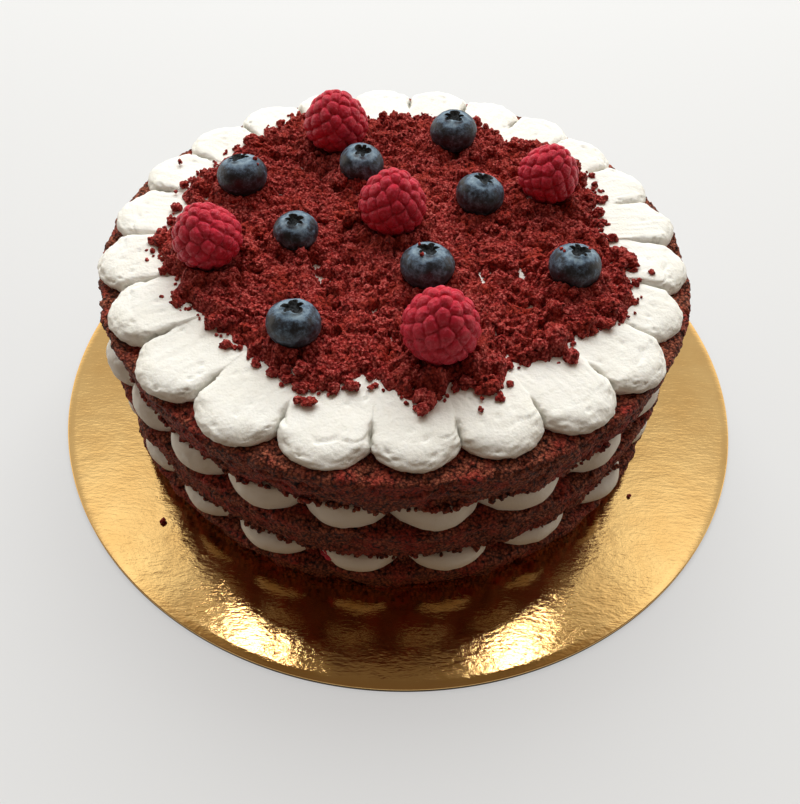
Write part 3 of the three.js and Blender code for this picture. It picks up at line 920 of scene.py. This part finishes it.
def bed_height(x, y):
    """Height of the crumb bed above the cream: clusters and lumps, banks by the berries, and a few gaps."""
    flat = np.stack([x, y, 0 * x], axis=-1)
    swirl = np.stack([noise(flat, 3.2, 93), noise(flat, 3.2, 94), 0 * x], axis=-1)
    cluster, own, _ = seeds_near(flat + 1.1 * swirl, 6.8, 101, flat=True)
    lump, lump_own, _ = seeds_near(flat + 1.1 * swirl, 2.9, 102, flat=True)
    bit, _, _ = seeds_near(flat + 0.4 * swirl, 1.8, 103, flat=True)
    height = 1.9 + 0.7 * noise(flat, 17.0, 104) + (1.6 + 2.8 * own) * (0.36 - cluster**2)
    height += (1.6 + 1.8 * lump_own) * (0.36 - lump**2) + 1.1 * (0.36 - bit**2)
    height -= 2.9 * smoothstep(0.62, 0.84, noise(flat, 5.0, 105) + 0.5 * noise(flat, 1.9, 106))
    bank = 2.0 + 1.4 * noise(flat, 6.0, 109)
    for middle, half in BERRY_SHAPES:
        off = np.hypot(x - middle[0], y - middle[1]) - half[0]
        height += bank * np.exp(-((off / 2.4) ** 2))
    return height


def sunk_under_berries(points):
    """Lowers points of the bed so that they stay below each berry."""
    x, y, z = points.T
    for middle, half in BERRY_SHAPES:
        across = np.hypot((x - middle[0]) / half[0], (y - middle[1]) / half[1])
        under = middle[2] - half[2] * np.sqrt(np.maximum(0, 1 - across**2)) - 0.2
        z = np.where(across < 1, np.minimum(z, np.maximum(under, CRUMB_BED_Z + 0.1)), z)
    return np.stack([x, y, z], axis=1)


def disc_grid(count):
    """A square grid bent evenly onto a disc of radius 1: x and y, each (count, count)."""
    line = np.linspace(-1, 1, count)
    a, b = np.meshgrid(line, line)
    swap = np.abs(b) > np.abs(a)
    radius = np.where(swap, b, a)
    share = np.divide(np.where(swap, a, b), radius, out=np.zeros_like(a), where=radius != 0)
    return polar(radius, np.where(swap, math.pi / 2 - math.pi / 4 * share, math.pi / 4 * share))


def crumb_bed():
    """The bed of crumbs: one solid, heaped in clusters and covered in granules."""
    count = 270
    floor_z = CRUMB_BED_Z - 1.0
    x, y = disc_grid(count)
    radius = np.hypot(x, y)
    reach = bed_reach(np.arctan2(y, x))
    x, y = x * reach, y * reach
    z = CRUMB_BED_Z - 0.3 + np.maximum(bed_height(x, y), -0.6) * smoothstep(1.0, 0.95, radius)
    grid = np.stack([x, y, z], axis=-1)
    relief = 0.95 * (granules(grid, 107, 1.45) - 0.55) + 0.25 * noise(grid, 0.8, 108)
    relief *= smoothstep(1.0, 0.985, radius)
    normals = unit(np.cross(np.gradient(grid, axis=1), np.gradient(grid, axis=0)))
    top = sunk_under_berries((grid + normals * relief[..., None]).reshape(-1, 3))
    index = np.arange(count * count).reshape(count, count)
    rim = np.concatenate([index[0, :-1], index[:-1, -1], index[-1, :0:-1], index[:0:-1, 0]])
    ring = len(top) + np.arange(len(rim))
    loops = np.array([rim, ring])
    faces = strip(index[:, :-1], index[:, 1:]) + strip(np.roll(loops, -1, axis=1), loops)
    floor_edge = top[rim] * [1, 1, 0] + [0, 0, floor_z]
    points = np.vstack([top, floor_edge, [[0, 0, floor_z]]]) + CAKE_CENTRE
    faces += fan(np.roll(ring, -1), ring, len(top) + len(rim))
    mesh_piece("crumb_heap", points, faces, [CRUMB], ["crumb_bed"])


# -------- the separate crumbs
def random_turns(draw, count):
    """Random rotation matrices, an array (count, 3, 3)."""
    w, x, y, z = unit(draw.normal(size=(count, 4))).T
    rows = [
        [1 - 2 * (y * y + z * z), 2 * (x * y - z * w), 2 * (x * z + y * w)],
        [2 * (x * y + z * w), 1 - 2 * (x * x + z * z), 2 * (y * z - x * w)],
        [2 * (x * z - y * w), 2 * (y * z + x * w), 1 - 2 * (x * x + y * y)],
    ]
    return np.moveaxis(np.array(rows), -1, 0)


def crumbs(name, places, sizes, subdivisions, material=CRUMB):
    """One mesh of ragged crumbs: each is a dented ball of its own size, covered in granules."""
    draw = seeded(name)
    directions, faces = ball(subdivisions)
    count = len(places)
    outward = np.einsum("nij,vj->nvi", random_turns(draw, count), directions)
    stretch = draw.uniform(0.70, 1.20, (count, 1, 3)) * [1, 1, 0.85]
    inner = outward + draw.uniform(0, 90, (count, 1, 3))
    dent = noise(inner, 0.95, 111) * 0.36 + noise(inner, 0.45, 112) * 0.26
    reach = sizes[:, None] * (1 + dent)
    points = places[:, None] + outward * stretch * reach[..., None]
    relief = np.minimum(0.85, 0.5 * sizes)[:, None] * (granules(points, 113) - 0.6)
    points = (points + outward * relief[..., None]).reshape(-1, 3) + CAKE_CENTRE
    all_faces = np.array(faces) + np.arange(count)[:, None, None] * len(directions)
    mesh_piece(name, points, all_faces.reshape(-1, 3).tolist(), [material])


def clear_of_berries(places, sizes):
    """True for each lump that no berry touches."""
    clear = np.ones(len(places), dtype=bool)
    for middle, half in BERRY_SHAPES:
        spread = (places - middle) / (half + sizes[:, None] * 0.8)
        clear &= np.linalg.norm(spread, axis=1) > 1
    return clear


def over_bed(draw, sizes, nearest=0.0, farthest=1.03):
    """Places for crumbs that lie on the bed, spread evenly between two shares of its reach."""
    angle = draw.uniform(0, 2 * math.pi, len(sizes))
    share = np.sqrt(draw.uniform(nearest**2, farthest**2, len(sizes)))
    x, y = polar(bed_reach(angle) * share, angle)
    on_bed = CRUMB_BED_Z - 0.3 + bed_height(x, y) + 0.25 * sizes
    on_cream = CREAM_PLATEAU_Z + 0.45 * sizes
    z = np.maximum(on_cream, np.where(share < 0.97, on_bed, on_cream))
    return np.stack([x, y, z], axis=1)


def by_berries(draw, sizes):
    """Places for crumbs that are banked up against the berries' lower halves."""
    count = len(sizes)
    pick = draw.integers(0, len(BERRY_SHAPES), count)
    middles, halves = np.array(BERRY_SHAPES)[pick].swapaxes(0, 1)
    angle = draw.uniform(0, 2 * math.pi, count)
    bank = 0.35 + 0.65 * smoothstep(-1.0, 0.6, np.cos(angle * 3 + pick * 1.7))
    z = CREAM_PLATEAU_Z + 1.8 + draw.uniform(0, 4.0, count) * bank
    level = np.clip((z - middles[:, 2]) / halves[:, 2], -0.95, 0.95)
    out = halves[:, 0] * np.sqrt(1 - level**2) + sizes * draw.uniform(0.75, 1.5, count)
    return np.stack([*polar(out, angle), z], axis=1) + middles * [1, 1, 0]


def bed_crumbs(name, counts, smallest, largest, subdivisions):
    """Crumbs on the bed, along its edge and against the berries."""
    draw = seeded("places " + name)
    sizes = smallest + (largest - smallest) * draw.uniform(0, 1, sum(counts)) ** 1.6
    inner, edge, banked = np.split(sizes, np.cumsum(counts)[:-1])
    places = np.vstack([over_bed(draw, inner), over_bed(draw, edge, 0.93, 1.045), by_berries(draw, banked)])
    kept = clear_of_berries(places, sizes)
    crumbs(name, places[kept], sizes[kept], subdivisions)


def loose_crumbs():
    """Single crumbs that fell beside the bed, on the cream and on the board: each a few bits in a row."""
    draw = seeded("loose crumbs")
    places = []
    sizes = []
    for floor_z, lying in LOOSE_CRUMBS.items():
        for x, y, length, width in lying:
            bits = max(1, round(1.7 * length / width - 0.7))
            for step in np.linspace(-0.5, 0.5, bits) if bits > 1 else [0.0]:
                size = width / 2 * draw.uniform(0.85, 1.1)
                aside = draw.normal(0, 0.25 * size)
                places.append([x + step * (length - width), y + aside, floor_z + 0.75 * size])
                sizes.append(size)
    crumbs("crumb_strays", np.array(places), np.array(sizes), 3)


def berry_crumbs():
    """Crumbs that cling to the blueberries' skin."""
    places = []
    for name, east, north, size in BERRY_CRUMBS:
        skin = bpy.data.objects["berry_blue_" + name].data
        points = np.array([vertex.co[:] for vertex in skin.vertices]) / MM
        low, high = points.min(axis=0), points.max(axis=0)
        aim = (low + high) / 2 + (high - low) / 2 * [east, north, 0]
        upper = points[points[:, 2] > aim[2]]
        spot = upper[np.argmin(np.linalg.norm((upper - aim)[:, :2], axis=1))]
        places.append(spot - CAKE_CENTRE + [0, 0, 0.4 * size])
    crumbs("crumb_specks", np.array(places), np.array([size for *_, size in BERRY_CRUMBS]), 2)


def sponge_fringe():
    """Crumbs that cling to the torn lower edges of the two upper sponges and make them ragged."""
    draw = seeded("fringe")
    count = 400
    places = []
    for bottom, trim, shift in ((MIDDLE_SPONGE_Z, 0.0, 0.0), (TOP_SPONGE_Z, TOP_TRIM, TOP_SHIFT)):
        angle = draw.uniform(0, 2 * math.pi, count)
        radius = SPONGE_FOOT_RADIUS - trim + draw.normal(-0.3, 0.35, count)
        z = bottom + 0.55 + draw.normal(0, 0.30, count)
        places.append(np.stack([*polar(radius, angle), z], axis=1) + shift)
    sizes = 0.5 + 0.7 * draw.uniform(0, 1, 2 * count) ** 1.5
    crumbs("crumb_fringe", np.vstack(places), sizes, 2, SPONGE)


# -------- the room
def camera():
    """The camera that the photograph was taken from, fitted to the board and the cake's rim."""
    data = bpy.data.cameras.new("camera")
    data.sensor_width = 36.0
    data.lens = 34.89
    data.clip_start = 0.01
    forward = Vector((0, 0.63929, -0.76897))
    level = Vector((1, 0, 0))
    rise = level.cross(forward)
    roll = math.radians(2.24)
    right = math.cos(roll) * level + math.sin(roll) * rise
    up = -math.sin(roll) * level + math.cos(roll) * rise
    turn = Matrix((right, up, -forward)).transposed().to_4x4()
    made = add_object("camera", data)
    made.matrix_world = Matrix.Translation((0.0002, -0.20503, 0.22846)) @ turn
    bpy.context.scene.camera = made


def room_part(name, points, faces, unseen_by, **paint):
    """Makes a plain part of the room, which some kinds of light ray pass by."""
    material, shader, _ = new_material(name + "_paint")
    set_inputs(shader, **paint)
    made = mesh_object(name, points, faces, [material])
    for kind in unseen_by:
        setattr(made, "visible_" + kind, False)


def floor():
    """A plain pale floor, which doesn't throw light back onto the cake's sides."""
    half = 4000.0
    corners = [(-half, -half, 0), (half, -half, 0), (half, half, 0), (-half, half, 0)]
    paint = {"Base_Color": (0.30, 0.30, 0.30, 1), "Emission_Color": (1.0, 1.0, 1.0, 1)}
    room_part("floor", corners, [(0, 1, 2, 3)], ["diffuse"], Roughness=0.9, Emission_Strength=0.48, **paint)


def backdrop():
    """A plain pale wall all round, far behind the cake; it gives no light and shows in no reflection."""
    columns = 96
    radius = 3900.0
    points = turned_section([(radius, 0.0), (radius, 5000.0)], columns).reshape(-1, 3)
    unseen_by = ["diffuse", "glossy", "transmission", "volume_scatter", "shadow"]
    paint = {"Base_Color": (0.02, 0.02, 0.02, 1), "Emission_Color": (1.0, 1.0, 0.985, 1)}
    sides = ring_faces(2, columns)[:columns]
    room_part("wall", points, sides, unseen_by, Roughness=1.0, Emission_Strength=0.70, **paint)


def softbox(name, place, width, depth, power, mirrored=True, tilt=0.0, colour=(1.0, 1.0, 1.0)):
    """A soft panel of light that faces straight down, or is tilted towards the front by some degrees."""
    data = bpy.data.lights.new(name, "AREA")
    data.shape = "RECTANGLE"
    data.size = width
    data.size_y = depth
    data.energy = power
    data.color = colour
    made = add_object(name, data)
    made.location = place
    made.rotation_euler = (-math.radians(tilt), 0, 0)
    made.visible_glossy = mirrored


def sky():
    """A soft room: walls behind the cake, brightest at the sides, a dim ceiling and a dim warm front."""
    world = bpy.data.worlds.new("room")
    world.use_nodes = True
    tree = world.node_tree
    direction = node(tree, "TexCoord").outputs["Generated"]
    parts = node(tree, "SeparateXYZ", Vector=direction).outputs
    stops = [
        (0.40, (0.95, 0.88, 0.76)), (0.62, (0.435, 0.425, 0.405)), (0.74, (0.48, 0.47, 0.445)),
        (0.81, (0.95, 0.94, 0.90)), (0.86, (1.0, 1.0, 0.95)), (0.885, (0.60, 0.57, 0.52)),
        (0.905, (0.36, 0.31, 0.25)), (0.925, (0.20, 0.15, 0.105)),
    ]
    aside = ramp(maths("ABSOLUTE", parts["X"]), [(0.23, 0.0), (0.32, 1.0)])
    factor = maths("MULTIPLY_ADD", aside, 0.70, 0.76)
    wall = maths("MULTIPLY", ramp(parts["Z"], stops), factor, kind="VectorMath")
    behind = maths("MULTIPLY_ADD", parts["Y"], 0.5, 0.5)
    amount = ramp(behind, [(0.42, 0.0), (0.62, 1.0)])
    light = mixed(amount, (0.16, 0.115, 0.078), wall)
    set_inputs(tree.nodes["Background"], Color=light, Strength=1.0)
    bpy.context.scene.world = world


def room_light():
    """Two small ceiling lamps over the cake's far side, and a broad soft panel behind and above it."""
    softbox("lamp_left", (-0.202, 0.232, 0.9), 0.06, 0.06, 0.20)
    softbox("lamp_right", (0.188, 0.244, 0.9), 0.06, 0.06, 0.20)
    cool = (0.965, 1.0, 0.985)
    softbox("soft_panel", (0.0, 0.85, 0.9), 1.2, 0.8, 17.1, mirrored=False, tilt=43.4, colour=cool)
    sky()
    bpy.context.scene.view_settings.view_transform = "Standard"


camera()
floor()
backdrop()
room_light()
cake_board()
sponge("sponge_bottom", BOARD_THICKNESS + 0.3, LOWER_CREAM_Z, 200)
sponge("sponge_middle", MIDDLE_SPONGE_Z + 0.3, MIDDLE_CREAM_Z, 300)
sponge("sponge_top", TOP_SPONGE_Z + 0.3, TOP_CREAM_Z, 400, TOP_TRIM, TOP_SHIFT, shown=9.0)
cream_filling("cream_lower", LOWER_CREAM_Z + 0.1, MIDDLE_SPONGE_Z + 0.2, LOWER_RING, 500)
cream_filling("cream_middle", MIDDLE_CREAM_Z + 0.1, TOP_SPONGE_Z + 0.2, MIDDLE_RING, 600, MIDDLE_BULGES)
top_cream()
for berry in RASPBERRY_LEANS:
    raspberry(berry)
for berry in BLUEBERRY_LEANS:
    blueberry(berry)
raspberry_scrap()
crumb_bed()
bed_crumbs("crumb_clusters", (32, 34, 22), 1.6, 3.0, 4)
bed_crumbs("crumb_bits", (120, 120, 130), 0.9, 1.7, 3)
bed_crumbs("crumb_grains", (400, 420, 260), 0.45, 0.85, 2)
loose_crumbs()
berry_crumbs()
sponge_fringe()
